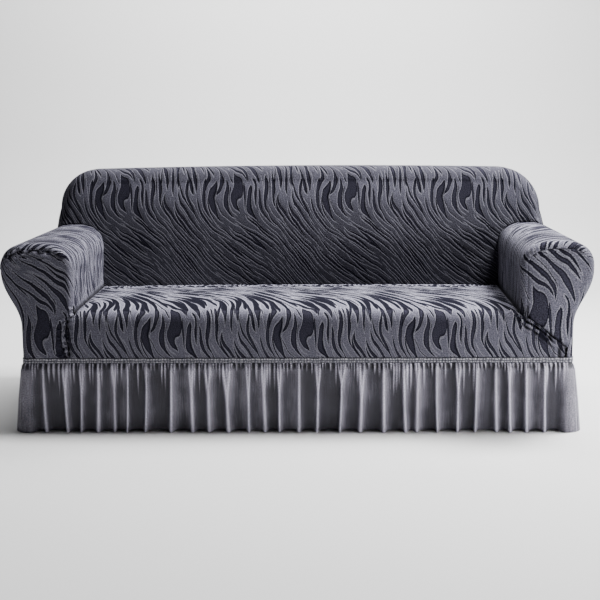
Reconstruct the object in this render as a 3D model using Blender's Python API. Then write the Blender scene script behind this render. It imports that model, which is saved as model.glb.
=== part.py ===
"""A fitted slipcover for a three-seat sofa with rolled arms, in the shape in which it hangs on the sofa.

The cover is hollow and open at the hem. Its cut pieces are the seat panel with the front apron, a panel
over each arm, a front for each arm, the inside back, which runs over the top edge and the shoulders, the
outside back, four lengths of ribbed band, and four gathered lengths of skirt.
The frame: +X to the right as one faces the front, +Y to the back, +Z up; the origin is on the floor under
the middle. Left and right in the names are as one faces the front.
"""

import math
import random

import bmesh
import bpy
from mathutils import Vector

# ---- driving sizes, in metres ----
HALF_WIDTH = 0.992  # outside of an arm below its roll
FRONT = -0.440  # plane of the arm fronts
REAR = 0.440  # plane of the outside back
CORNER = 0.024  # radius of every upright outer corner
BODY_FOOT = 0.2690  # lower edge of the patterned panels
BAND_TOP = 0.2686
BAND_FOOT = 0.2500
SKIRT_TOP = 0.2496

CLOTH = 0.0025  # patterned stretch cloth
SKIRT_CLOTH = 0.0020  # plain skirt cloth
BAND_CLOTH = 0.0036  # gathered casing
BAND_PROUD = 0.0015  # the band stands this far outside the panels
SEAM = 0.0004  # between two pieces that are sewn edge to edge
BUTT = 0.0009  # between an edge that leans and the piece it meets
ROLL_BUTT = 0.0016  # between the inside back's lower edge and the arm it follows
FRONT_BUTT = 0.0013  # between an arm front and the arm panel, round the rounded edge
WIDE_BUTT = 0.0027  # between edges that meet at a slant

# arm: an upright inner wall, a roll, and a hook under the roll down to the outside
ARM_INNER = 0.818  # inner wall where it meets the back
ARM_TOE = 0.020  # it is this much nearer the middle at the front
ARM_TUCK = 0.412  # lower edge of the inner wall, tucked below the seat
WALL_MIDDLE = 0.48  # height of the one station between that edge and the roll
ROLL_X, ROLL_Z = 0.938, 0.584
ROLL_A, ROLL_B = 0.121, 0.100
ROLL_FULL = 2.6  # exponent of the roll's outline; 2 is an ellipse
ROLL_RISE = 0.05  # the roll is this share higher at the back
ROLL_STEPS = 10
HOOK_START = 0.50  # the curve under the roll leaves its side towards this height ...
HOOK_END = (0.995, 0.46)  # ... comes in from here ...
HOOK_FOOT = 0.385  # ... and ends on the outside at this height
HOOK_STEPS = 4

# seat
SEAT_Z = 0.436
SEAT_CROWN = 0.010
CROWN_FROM, CROWN_TO = 0.15, 0.75  # the part of a half wave that the crown follows, back to front
SEAT_SHARES = (0, 0.22, 0.48, 0.74, 1)  # rows of the seat's top, as shares of its depth
SEAT_EDGE = 0.050  # radius of the front edge
SEAT_BULGE = 0.012  # the apron stands this far before the arm fronts
BULGE_FADE = 0.10  # height over the band in which it loses that
APRON_BREAK = 0.345  # height of a row of the apron
LOWER_TURN = math.radians(65)  # a row of the seat's front edge below the arms' rounded edge
SLANT_TOP = 0.418  # on the right the seam with the arm front slants from here ...
SLANT_FOOT = 0.304  # ... down to the outer corner here

# back
BACK_TUCK = 0.412  # lower edge of the inside back, tucked below the seat
BACK_FOOT_Y, BACK_TOP_Y = 0.215, 0.292  # its face leans from one to the other
BACK_BULGE = 0.014
BULGE_SPAN = 0.98  # half the width over which the back swells
BACK_SOFT = 0.060  # radius of the front edge of the back
BACK_TOP_Z = 0.922
BACK_SIDE_FOOT = 0.650
BACK_SIDE_FLARE = 0.026  # the sides are this much wider at the arms than at the shoulders
BACK_SIDE_BREAK = 0.705  # height of a row on the sides
CROWN_END = 0.74  # the even columns of the top edge end this far from the middle
WING_DROP = 0.8  # share of the rear corner by which the wing over the roll's end drops
REAR_LAP = 0.004  # the outside back covers the turned edges by this much
LEFT, RIGHT = -1, 1
SHOULDERS = {  # centre of the round and its radius; the right shoulder is the rounder one
    LEFT: {"x": 0.852, "z": 0.757, "radius": 0.156},
    RIGHT: {"x": 0.826, "z": 0.738, "radius": 0.175},
}

PATTERNED = ("patterned stretch cloth", (0.115, 0.117, 0.150), 0.88)
PLAIN = ("plain skirt cloth", (0.128, 0.124, 0.150), 0.80)
RIBBED = ("ribbed casing", (0.150, 0.148, 0.175), 0.85)


# ---- making a piece ----
def material_of(finish):
    name, colour, roughness = finish
    material = bpy.data.materials.get(name)
    if material is None:
        material = bpy.data.materials.new(name)
        material.use_nodes = True
        shader = material.node_tree.nodes["Principled BSDF"]
        shader.inputs["Base Color"].default_value = (*colour, 1)
        shader.inputs["Roughness"].default_value = roughness
        shader.inputs["Metallic"].default_value = 0
    return material


def sheet(name, columns, rows, place, thickness, finish, flip=False):
    """A sheet of cloth: a grid whose vertex (i, j) goes to place(i, j), thickened away from its face.

    Where place gives None, the grid is cut away.
    """
    bm = bmesh.new()
    bmesh.ops.create_grid(bm, x_segments=columns, y_segments=rows, size=0.5)
    spare = []
    for vertex in bm.verts:
        i = round((vertex.co.x + 0.5) * columns)
        j = round((vertex.co.y + 0.5) * rows)
        target = place(i, j)
        if target is None:
            spare.append(vertex)
        else:
            vertex.co = target
    bmesh.ops.delete(bm, geom=spare, context="VERTS")
    bmesh.ops.remove_doubles(bm, verts=bm.verts, dist=1e-5)
    if flip:
        bmesh.ops.reverse_faces(bm, faces=bm.faces)
    mesh = bpy.data.meshes.new(name)
    bm.to_mesh(mesh)
    bm.free()
    mesh.materials.append(material_of(finish))
    mesh.shade_smooth()
    piece = bpy.data.objects.new(name, mesh)
    bpy.context.scene.collection.objects.link(piece)
    thick = piece.modifiers.new("thickness", "SOLIDIFY")
    thick.thickness = thickness
    thick.offset = -1
    thick.use_even_offset = True
    return piece


def ramp(t):
    """0 below 0, 1 above 1, smooth between."""
    t = min(1, max(0, t))
    return t * t * (3 - 2 * t)


def mixed(a, b, t):
    return a + (b - a) * t


def quarter(steps):
    """Angles from 0 to a right angle."""
    return [math.pi / 2 * k / steps for k in range(steps + 1)]


# ---- the arm's section, shared by the arm panels, the arm fronts and the inside back ----
def arm_section():
    """Points (x, z) of the right arm, from the tuck at the seat over the roll to the foot outside."""
    points = [(ARM_INNER, ARM_TUCK), (ARM_INNER, WALL_MIDDLE)]
    for k in range(ROLL_STEPS + 1):
        turn = math.pi * (1 - k / ROLL_STEPS)
        wide = math.copysign(abs(math.cos(turn)) ** (2 / ROLL_FULL), math.cos(turn))
        points.append((ROLL_X + ROLL_A * wide, ROLL_Z + ROLL_B * math.sin(turn) ** (2 / ROLL_FULL)))
    outer = ROLL_X + ROLL_A
    hook = [Vector(p) for p in ((outer, ROLL_Z), (outer, HOOK_START), HOOK_END, (HALF_WIDTH, HOOK_FOOT))]
    for k in range(1, HOOK_STEPS + 1):
        t = k / HOOK_STEPS
        weights = ((1 - t) ** 3, 3 * t * (1 - t) ** 2, 3 * t * t * (1 - t), t ** 3)
        points.append(tuple(sum((w * p for w, p in zip(weights, hook)), Vector((0, 0)))))
    points += [(HALF_WIDTH, SLANT_FOOT), (HALF_WIDTH, BODY_FOOT)]
    return [Vector(p) for p in points]


def outward(points):
    """The outward direction of an open outline at each of its points; outside is on its left."""
    found = []
    for k in range(len(points)):
        along = (points[min(k + 1, len(points) - 1)] - points[max(k - 1, 0)]).normalized()
        found.append(Vector((-along.y, along.x)))
    return found


SECTION = arm_section()
OUT = outward(SECTION)
ROLL_START, ROLL_END = 2, 2 + ROLL_STEPS  # stations where the roll begins and ends
SHOULDER_STATION = 8  # the last station that ends at the inside back
LAST = len(SECTION) - 1


def section_at(station, y):
    """A station of the section at a depth: the inner wall toes in to the front, the roll rises behind."""
    point = SECTION[station]
    forward = min(1, max(0, (BACK_FOOT_Y - y) / (BACK_FOOT_Y - FRONT)))
    inner = max(0, (ROLL_X - point.x) / (ROLL_X - ARM_INNER))
    above = max(0, point.y - ROLL_Z)
    rise = ROLL_RISE * (y - FRONT) / (REAR - FRONT)
    return Vector((point.x - ARM_TOE * forward * inner, point.y + above * rise))


def arm_top(x):
    """Height of the faceted roll at the back, at this distance from the middle."""
    roll = [section_at(k, REAR) for k in range(ROLL_START, ROLL_END + 1)]
    for a, b in zip(roll, roll[1:]):
        if a.x <= x <= b.x:
            return mixed(a.y, b.y, (x - a.x) / (b.x - a.x))
    return ROLL_Z


def inner_wall(y):
    return section_at(0, y).x


# ---- the back's face and outline ----
def back_face(x, z):
    """Depth of the inside back's face: it leans, and swells a little in the middle."""
    rise = (z - BACK_TUCK) / (BACK_TOP_Z - BACK_SOFT - BACK_TUCK)
    swell = max(0, 1 - (x / BULGE_SPAN) ** 4) * math.sin(math.pi * min(1, max(0, rise)))
    return mixed(BACK_FOOT_Y, BACK_TOP_Y, rise) - BACK_BULGE * swell


def back_crown(x):
    """Height of the top edge: it falls a little from the middle to the shoulders."""
    shoulder = SHOULDERS[LEFT if x < 0 else RIGHT]
    return BACK_TOP_Z - (BACK_TOP_Z - shoulder["z"] - shoulder["radius"]) * (x / shoulder["x"]) ** 2


def back_half_width(side, z, inset=0):
    """Distance from the middle to the back's outline, less an inset, at a height above the arms."""
    shoulder = SHOULDERS[side]
    reach = shoulder["radius"] - inset
    if z <= shoulder["z"]:
        fall = (shoulder["z"] - z) / (shoulder["z"] - BACK_SIDE_FOOT)
        return shoulder["x"] + reach + BACK_SIDE_FLARE * fall
    return shoulder["x"] + math.sqrt(max(0, reach ** 2 - (z - shoulder["z"]) ** 2))


# ---- arm panels ----
ARM_STRAIGHT = (-0.27, -0.06, 0.12)  # rings of the panel between the two rounded ends
ARM_ROUND = 3  # steps of a rounded end
ARM_LAP = 0.004  # the panel ends this far behind the face of the back ...
SHOULDER_LAP = 0.050  # ... and this far under the shoulders


def share(side, station):
    """How much of the rounded front edge is the arm panel's; the rest is the arm front's."""
    if station == ROLL_END - 1:
        return 0.6
    if station == ROLL_END:
        return 0.25
    if station > ROLL_END:
        return 1 if side == RIGHT and station >= LAST - 1 else 0
    if side == LEFT and station <= ROLL_START + 1:
        return 0 if station <= ROLL_START else 0.5
    return 1


def rounded_edge(station, turn):
    """A point of the right arm's rounded front edge.

    At turn 0 it lies in the front plane, and at a right angle on the arm's wall.
    """
    y = FRONT + CORNER * (1 - math.cos(turn))
    point = section_at(station, y) - OUT[station] * CORNER * (1 - math.sin(turn))
    return Vector((point.x, y, point.y))


def arm_point(side, station, row):
    """A point of an arm panel, drawn for the right arm: rows run from the front edge to the back."""
    if row <= ARM_ROUND:
        turn = math.pi / 2 * (1 - share(side, station) * (1 - row / ARM_ROUND))
        return rounded_edge(station, turn)
    if row <= ARM_ROUND + len(ARM_STRAIGHT):
        y = ARM_STRAIGHT[row - ARM_ROUND - 1]
        point = section_at(station, y)
    elif station <= SHOULDER_STATION:
        point = section_at(station, BACK_FOOT_Y)
        end = back_face(point.x, point.y) + (ARM_LAP if station < SHOULDER_STATION - 1 else SHOULDER_LAP)
        y = mixed(ARM_STRAIGHT[-1], end, (row - ARM_ROUND - len(ARM_STRAIGHT)) / (ARM_ROUND + 1))
        point = section_at(station, y)
    else:
        turn = quarter(ARM_ROUND)[row - ARM_ROUND - len(ARM_STRAIGHT) - 1]
        y = REAR - CLOTH - SEAM - CORNER * (1 - math.sin(turn))
        point = section_at(station, y) - OUT[station] * CORNER * (1 - math.cos(turn))
    return Vector((point.x, y, point.y))


def arm_panels():
    rows = 2 * ARM_ROUND + len(ARM_STRAIGHT) + 1
    for side, name in ((RIGHT, "arm_right"), (LEFT, "arm_left")):
        def place(i, j):
            point = arm_point(side, i, j)
            return Vector((side * point.x, point.y, point.z))
        sheet(name, LAST, rows, place, CLOTH, PATTERNED, flip=side == LEFT)


# ---- seat and apron ----
APRON_SEAM = inner_wall(FRONT) + CORNER  # upright seam between the apron and the left arm front
SEAT_FRONT = FRONT - SEAT_BULGE  # the foremost line of the seat
SEAT_COLUMNS = 18


def seat_rows():
    """Rows of the panel: shares of the top, angles over the front edge, heights of the apron.

    The first angles bring the panel's side points level with those of the arm's rounded front edge.
    """
    arm_depths = [CORNER * math.cos(turn) for turn in reversed(quarter(ARM_ROUND))]
    start = SEAT_EDGE - SEAT_BULGE - CORNER
    edge = [math.asin((start + depth) / SEAT_EDGE) for depth in arm_depths]
    rows = [("top", t) for t in SEAT_SHARES]
    rows += [("edge", angle) for angle in edge + [LOWER_TURN, math.pi / 2]]
    return rows + [("apron", z) for z in (APRON_BREAK, SLANT_FOOT, BODY_FOOT)]


SEAT_ROWS = seat_rows()


def apron_bulge(z):
    """How far the apron stands before the arm fronts; it follows the rounded edge above."""
    fall = SEAT_Z - z
    if fall < SEAT_EDGE:
        return max(0, SEAT_BULGE - SEAT_EDGE + math.sqrt(SEAT_EDGE ** 2 - (SEAT_EDGE - max(0, fall)) ** 2))
    return SEAT_BULGE * ramp((z - BODY_FOOT) / BULGE_FADE)


def seat_half_width(y):
    """The seat's side follows the arm's rounded front edge, and passes before it with its own thickness."""
    turned = max(0, FRONT + CORNER - y)
    clear = CORNER + BUTT + CLOTH * min(1, turned / CORNER)
    if turned >= clear:
        return APRON_SEAM - BUTT
    return min(APRON_SEAM - BUTT, inner_wall(y) + CORNER - math.sqrt(clear ** 2 - turned ** 2))


def slant(z):
    """Place of the seam between the apron and the right arm front at a height."""
    fall = min(1, max(0, (SLANT_TOP - z) / (SLANT_TOP - SLANT_FOOT)))
    return mixed(APRON_SEAM, HALF_WIDTH - CORNER, fall)


def seat_point(column, row):
    """Rows run from the crease at the back over the front edge and down the apron."""
    kind, value = SEAT_ROWS[row]
    across = 2 * column / SEAT_COLUMNS - 1
    crown = SEAT_CROWN * (1 - abs(across) ** 3)
    edge_crown = crown * math.sin(math.pi * CROWN_TO)
    edge_y = SEAT_FRONT + SEAT_EDGE
    if kind == "top":
        x = across * (ARM_INNER - BUTT)
        y = mixed(back_face(x, SEAT_Z) - BUTT, edge_y, value)
        z = SEAT_Z + crown * math.sin(math.pi * mixed(CROWN_FROM, CROWN_TO, value))
        return Vector((across * seat_half_width(y), y, z))
    if kind == "edge":
        y = edge_y - SEAT_EDGE * math.sin(value)
        z = SEAT_Z + edge_crown * math.cos(value) - SEAT_EDGE * (1 - math.cos(value))
        left = seat_half_width(y)
        right = left if z > SLANT_TOP else slant(z) - WIDE_BUTT
    else:
        z = value
        y = FRONT - apron_bulge(z)
        left = APRON_SEAM - BUTT
        right = slant(z) - WIDE_BUTT
    return Vector((mixed(-left, right, column / SEAT_COLUMNS), y, z))


def seat_panel():
    sheet("seat_panel", SEAT_COLUMNS, len(SEAT_ROWS) - 1, seat_point, CLOTH, PATTERNED, flip=True)


# ---- arm fronts ----
FRONT_DOME = 0.010  # an arm front swells this far ...
DOME_POWER = 0.6  # ... and the lower this exponent, the flatter its middle
FRONT_TOP_SEGMENTS = 6  # over the crown of the roll
INNER_CORNER = ROLL_START + 2  # stations at the patch's two upper corners
OUTER_CORNER = INNER_CORNER + FRONT_TOP_SEGMENTS


def front_edge(station):
    """The line in the front plane where the arm front's flat part begins."""
    point = section_at(station, FRONT) - OUT[station] * (CORNER + BUTT)
    return Vector((point.x, FRONT, point.y))


def front_sides(side):
    """The outer, upper, inner and lower edges of the flat part of the right arm front."""
    foot = LAST - 1 if side == RIGHT else LAST
    outer = [front_edge(k) for k in range(foot, OUTER_CORNER - 1, -1)]
    top = [front_edge(k) for k in range(OUTER_CORNER, INNER_CORNER - 1, -1)]
    lowest = 1 if side == RIGHT else 0
    inner = [front_edge(k) for k in range(INNER_CORNER, lowest - 1, -1)]
    start, end = SECTION[lowest].y, SLANT_TOP if side == RIGHT else BODY_FOOT
    spare = len(outer) - len(inner)
    for k in range(1, spare + 1):
        inner.append(Vector((APRON_SEAM + BUTT, FRONT, mixed(start, end, k / spare))))
    inner.reverse()  # from the foot up
    for point in inner:
        point.y = FRONT - apron_bulge(point.z)
    bottom = [outer[0].lerp(inner[0], k / FRONT_TOP_SEGMENTS) for k in range(FRONT_TOP_SEGMENTS + 1)]
    if side == RIGHT:
        for point in bottom:
            point.y = FRONT - apron_bulge(point.z)
        outer[0] = bottom[0]
    return outer, top, inner, bottom


def patch(side):
    """The point (i, j) of the patch that the four edges bound (a Coons patch), swelling a little."""
    outer, top, inner, bottom = front_sides(side)
    columns, rows = len(top) - 1, len(outer) - 1

    def swell(u, v):
        if u < 0.5 or side == LEFT:
            across = ramp(2 * min(u, 1 - u))
        else:
            across = (4 * u * (1 - u)) ** DOME_POWER
        return across * (4 * v * (1 - v)) ** DOME_POWER

    def at(i, j):
        u, v = i / columns, j / rows
        ruled = outer[j].lerp(inner[j], u) + bottom[i].lerp(top[i], v)
        low = bottom[0].lerp(bottom[-1], u)
        high = top[0].lerp(top[-1], u)
        point = ruled - low.lerp(high, v)
        point.y -= FRONT_DOME * swell(u, v)
        return point

    return columns, rows, at


def arm_fronts():
    """Each arm front is the flat patch, with the part of the rounded edge that the arm panel leaves to it."""
    for side, name in ((RIGHT, "arm_front_right"), (LEFT, "arm_front_left")):
        columns, rows, at = patch(side)
        foot = LAST - 1 if side == RIGHT else LAST
        inner_turns = 0 if side == RIGHT else ARM_ROUND

        def turned(station, step, edge):
            """A point of the rounded edge, step by step from the flat part's edge out to the arm panel."""
            whole = max(0, math.pi / 2 * (1 - share(side, station)) - FRONT_BUTT / CORNER)
            if step == 0 or whole == 0:
                return edge
            return rounded_edge(station, whole * step / ARM_ROUND)

        def place(i, j):
            if i < ARM_ROUND:
                point = turned(foot - j, ARM_ROUND - i, at(0, j))
            elif i <= ARM_ROUND + columns:
                point = at(i - ARM_ROUND, j)
            else:
                station = INNER_CORNER - (rows - j)
                if station < 0:
                    return None
                point = turned(station, i - ARM_ROUND - columns, at(columns, j))
            return Vector((side * point.x, point.y, point.z))
        sheet(name, ARM_ROUND + columns + inner_turns, rows, place, CLOTH, PATTERNED, flip=side == RIGHT)


# ---- inside back, with the top edge and the shoulders ----
BACK_ROUND = 3
BACK_FACE_ROWS = 5
BACK_MIDDLE = 14  # columns between the arms
SHOULDER_STEPS = 3


def back_lower_edge():
    """Half of the lower edge, from the shoulder over the roll and down the inner wall: points (x, z)."""
    points = []
    for station in range(SHOULDER_STATION, ROLL_START - 1, -1):
        face = back_face(SECTION[station].x, SECTION[station].y)
        points.append(section_at(station, face) + OUT[station] * ROLL_BUTT)
    points.append(Vector((ARM_INNER - BUTT, WALL_MIDDLE)))
    points.append(Vector((ARM_INNER - BUTT, BACK_TUCK)))
    return points


def back_upper_edge(side, count, first):
    """Half of the line where the face starts to turn over the edge.

    It gives the line's points, the outward direction at each, and how far out the edge lies from there.
    """
    shoulder = SHOULDERS[side]
    centre = Vector((shoulder["x"], shoulder["z"]))
    points, outs = [first.copy()], [Vector((1, 0))]
    for z in (BACK_SIDE_BREAK, shoulder["z"]):
        points.append(Vector((back_half_width(side, z, BACK_SOFT), z)))
        outs.append(Vector((1, 0)))
    for k in range(1, SHOULDER_STEPS + 1):
        turn = math.pi / 2 * k / SHOULDER_STEPS
        out = Vector((math.cos(turn), math.sin(turn)))
        points.append(centre + out * (shoulder["radius"] - BACK_SOFT))
        outs.append(out)
    left = count - len(points)
    for k in range(1, left + 1):
        x = mixed(shoulder["x"], CROWN_END, k / left)
        points.append(Vector((x, back_crown(side * x) - BACK_SOFT)))
        outs.append(Vector((0, 1)))
    reaches = [back_half_width(side, first.y) - first.x] + [BACK_SOFT] * (count - 1)
    return points, outs, reaches


def mirrored(points):
    return [Vector((-p.x, p.y)) for p in points]


def inside_back():
    half = back_lower_edge()
    left, left_outs, left_reaches = back_upper_edge(LEFT, len(half), half[0])
    right, right_outs, right_reaches = back_upper_edge(RIGHT, len(half), half[0])
    shares = [k / BACK_MIDDLE for k in range(1, BACK_MIDDLE)]
    middle_x = [mixed(-left[-1].x, right[-1].x, s) for s in shares]
    tuck = [Vector((mixed(-half[-1].x, half[-1].x, s), BACK_TUCK)) for s in shares]
    lower = mirrored(half) + tuck + half[::-1]
    upper = mirrored(left) + [Vector((x, back_crown(x) - BACK_SOFT)) for x in middle_x] + right[::-1]
    outs = mirrored(left_outs) + [Vector((0, 1))] * len(shares) + right_outs[::-1]
    reaches = left_reaches + [BACK_SOFT] * len(shares) + right_reaches[::-1]
    columns = len(lower) - 1
    turns = quarter(BACK_ROUND)

    def over_edge(i, step):
        """Distance out from the upper edge, and depth, of a step over the top edge to the rear seam."""
        face = back_face(upper[i].x, upper[i].y)
        if step <= BACK_ROUND:
            return reaches[i] * math.sin(turns[step]), face + BACK_SOFT * (1 - math.cos(turns[step]))
        turn = turns[step - BACK_ROUND - 1]
        rear = REAR - CLOTH - SEAM
        return reaches[i] - CORNER * (1 - math.cos(turn)), rear - CORNER * (1 - math.sin(turn))

    def place(i, j):
        if j <= BACK_FACE_ROWS:
            point = lower[i].lerp(upper[i], j / BACK_FACE_ROWS)
            return Vector((point.x, back_face(point.x, point.y), point.y))
        step = j - BACK_FACE_ROWS
        out, y = over_edge(i, step)
        point = upper[i] + outs[i] * out
        if i in (0, columns):
            turn = turns[step - BACK_ROUND - 1] if step > BACK_ROUND else 0
            drop = WING_DROP * CORNER * (1 - math.cos(turn))
            point.y = arm_top(abs(point.x)) + WIDE_BUTT - drop
        return Vector((point.x, y, point.y))

    sheet("inside_back", columns, BACK_FACE_ROWS + 2 * BACK_ROUND + 1, place, CLOTH, PATTERNED)


# ---- outside back ----
OUTSIDE_COLUMNS = 12
ROLL_EDGE_Z = 0.656  # above this the outside back's edge is the shoulder's, below it the arm's
OUTSIDE_HEIGHTS = (BODY_FOOT, 0.32, 0.38, 0.43, 0.48, 0.53, 0.58, 0.618, 0.640, ROLL_EDGE_Z)


def outside_half_width(side, z):
    """Distance from the middle to the edge of the outside back at a height, just over the turned edges."""
    inset = CORNER - REAR_LAP
    if z >= ROLL_EDGE_Z:
        return back_half_width(side, z, inset)
    lower = [section_at(k, REAR) - OUT[k] * inset for k in range(LAST, ROLL_END - 4, -1)]
    for a, b in zip(lower, lower[1:]):
        if a.y <= z <= b.y:
            return mixed(a.x, b.x, (z - a.y) / (b.y - a.y))
    return lower[-1].x


def outside_back():
    shoulder = SHOULDERS[LEFT]
    crown = shoulder["radius"] - CORNER + REAR_LAP
    heights = [*OUTSIDE_HEIGHTS] + [shoulder["z"] + crown * math.sin(turn) for turn in quarter(4)]

    def place(i, j):
        z = heights[j]
        x = mixed(-outside_half_width(LEFT, z), outside_half_width(RIGHT, z), i / OUTSIDE_COLUMNS)
        if j == len(heights) - 1:
            z = back_crown(x) - CORNER + REAR_LAP
        return Vector((x, REAR, z))

    sheet("outside_back", OUTSIDE_COLUMNS, len(heights) - 1, place, CLOTH, PATTERNED, flip=True)


# ---- the line round the foot of the cover, for the band and the skirt ----
CORNER_GAP = 0.0006  # each length stops this short of the middle of a corner
SIDES = {
    "front": (Vector((0, -1)), Vector((1, 0)), HALF_WIDTH, -FRONT),
    "right": (Vector((1, 0)), Vector((0, 1)), REAR, HALF_WIDTH),
    "back": (Vector((0, 1)), Vector((-1, 0)), HALF_WIDTH, REAR),
    "left": (Vector((-1, 0)), Vector((0, -1)), REAR, HALF_WIDTH),
}


def side_reach(side):
    """Half the length of one side, from its middle to the middle of its corner."""
    half = SIDES[side][2] - CORNER
    return half + CORNER * math.pi / 4 - SEAM / 2


def round_foot(side, along, out):
    """A point (x, y) at a distance along one side from its middle, and that far outside the foot line."""
    facing, heading, half, away = SIDES[side]
    straight = half - CORNER
    centre = facing * (away - CORNER) + heading * max(-straight, min(straight, along))
    turn = (abs(along) - straight) / CORNER if abs(along) > straight else 0
    bend = math.copysign(turn, along)
    return centre + (facing * math.cos(bend) + heading * math.sin(bend)) * (CORNER + out)


BAND_PITCH = 0.16  # length of one facet of the band


def ribbed_band():
    for side in SIDES:
        reach = side_reach(side) - CORNER_GAP
        straight = SIDES[side][2] - CORNER
        stops = [-reach, -(reach + straight) / 2, -straight]
        count = round(2 * straight / BAND_PITCH)
        stops += [mixed(-straight, straight, k / count) for k in range(1, count)]
        stops += [straight, (reach + straight) / 2, reach]

        def place(i, j):
            point = round_foot(side, stops[i], BAND_PROUD)
            return Vector((point.x, point.y, mixed(BAND_FOOT, BAND_TOP, j)))
        sheet(f"band_{side}", len(stops) - 1, 1, place, BAND_CLOTH, RIBBED)


# ---- gathered skirt ----
# ridges of the front length, from the middle of the side: place and reach, in millimetres
FRONT_FOLDS = (
    ("at", "reach"),
    (-914, 17), (-836, 19), (-775, 15), (-713, 20), (-657, 13), (-607, 21), (-539, 18), (-450, 22),
    (-379, 20), (-318, 17), (-251, 21), (-173, 22), (-118, 16), (-61, 20), (10, 18), (79, 21),
    (164, 24), (236, 20), (314, 22), (386, 21), (436, 16), (502, 22), (580, 20), (646, 18),
    (714, 16), (762, 22), (823, 19), (888, 22),
)
# rows of the skirt: height, share of a fold's reach, and how far the cloth stands out under it
SKIRT_ROWS = (
    ("height", "share", "stand"),
    (SKIRT_TOP, 0.14, 0.0000),
    (0.2230, 0.62, 0.0050),
    (0.1150, 0.85, 0.0090),
    (0.0003, 1.00, 0.0130),
)
# half of a ridge, from its crest to the foot of its flank: shares of its half width and of its reach
FOLD_PROFILE = (("aside", "share"), (1, 0.06), (0.45, 0.70), (0, 1))
FOLD_HALF, FOLD_CROWDED = 0.020, 0.40  # a ridge's half width, and its most as a share of the way to the next
FOLD_PITCH, FOLD_SHIFT = 0.073, 0.13  # on the sides and the rear: pitch, and uneven by this share of it
FOLD_REACH = (0.015, 0.023)  # there a ridge reaches between these
CORNER_FOLD = 0.022  # reach of the big fold round each corner
CORNER_RUN = 0.050  # that fold's flank, with no ridge on it
CORNER_PROFILE = (0.92, 0.98, 1)  # its share of the reach where the corner starts, halfway, and at its middle


def fold_table(side):
    """Ridges of one length of skirt, as (along, reach): named ones in front, evenly uneven ones elsewhere."""
    if side == "front":
        return [(at / 1000, reach / 1000) for at, reach in FRONT_FOLDS[1:]]
    chance = random.Random(side)
    edge = SIDES[side][2] - CORNER - CORNER_RUN
    count = round(2 * edge / FOLD_PITCH)
    pitch = 2 * edge / count
    folds = []
    for k in range(count + 1):
        shift = chance.uniform(-FOLD_SHIFT, FOLD_SHIFT) * pitch
        folds.append((-edge + k * pitch + shift, chance.uniform(*FOLD_REACH)))
    return folds


def skirt_columns(side):
    """Columns of one length as (along, share of reach, reach): foot, flank and crest of each ridge."""
    folds = fold_table(side)
    reach_end = side_reach(side) - CORNER_GAP
    straight = SIDES[side][2] - CORNER
    middle = (reach_end + straight) / 2
    corner = [(at, grown, CORNER_FOLD) for at, grown in zip((straight, middle, reach_end), CORNER_PROFILE)]
    half = FOLD_PROFILE[1:]
    columns = [(-at, grown, reach) for at, grown, reach in reversed(corner)]
    for k, (at, reach) in enumerate(folds):
        before = folds[k - 1][0] if k else -straight
        after = folds[k + 1][0] if k + 1 < len(folds) else straight
        left = min(FOLD_HALF, FOLD_CROWDED * (at - before))
        right = min(FOLD_HALF, FOLD_CROWDED * (after - at))
        columns += [(at - aside * left, grown, reach) for aside, grown in half]
        columns += [(at + aside * right, grown, reach) for aside, grown in reversed(half[:-1])]
    return columns + corner


def skirt():
    rows = SKIRT_ROWS[:0:-1]  # from the hem up
    for side in SIDES:
        columns = skirt_columns(side)

        def place(i, j):
            along, share, reach = columns[i]
            height, grown, stand = rows[j]
            point = round_foot(side, along, stand + share * reach * grown)
            return Vector((point.x, point.y, height))
        sheet(f"skirt_{side}", len(columns) - 1, len(rows) - 1, place, SKIRT_CLOTH, PLAIN)


# ---- the cover ----
for old in list(bpy.data.objects):
    bpy.data.objects.remove(old)
seat_panel()
arm_panels()
arm_fronts()
inside_back()
outside_back()
ribbed_band()
skirt()
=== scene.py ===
"""The looks of a fitted, skirted stretch cover for a three-seat sofa with rolled arms.

Each cut piece is a sheet of cloth on the frame's solids. Sizes are in metres: +X to the right as one faces
the front, +Y to the back, +Z up, with the floor at 0. Left and right are as one faces the front.
"""

import math
import random
from functools import partialmethod
from types import SimpleNamespace

import bmesh
import bpy
import numpy as np
from mathutils import Euler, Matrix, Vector


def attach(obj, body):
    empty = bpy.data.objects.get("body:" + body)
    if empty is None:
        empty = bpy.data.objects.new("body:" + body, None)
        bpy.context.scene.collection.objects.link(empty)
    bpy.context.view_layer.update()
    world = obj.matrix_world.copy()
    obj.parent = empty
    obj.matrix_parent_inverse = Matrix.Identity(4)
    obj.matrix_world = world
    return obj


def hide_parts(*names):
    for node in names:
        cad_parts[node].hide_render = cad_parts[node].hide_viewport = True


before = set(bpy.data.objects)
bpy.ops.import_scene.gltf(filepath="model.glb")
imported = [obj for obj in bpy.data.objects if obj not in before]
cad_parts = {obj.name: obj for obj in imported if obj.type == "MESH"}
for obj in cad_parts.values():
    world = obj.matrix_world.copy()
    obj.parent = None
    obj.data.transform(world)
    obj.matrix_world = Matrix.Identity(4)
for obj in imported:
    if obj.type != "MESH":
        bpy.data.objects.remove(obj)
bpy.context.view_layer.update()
QUARTER = math.pi / 2  # turn


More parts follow.
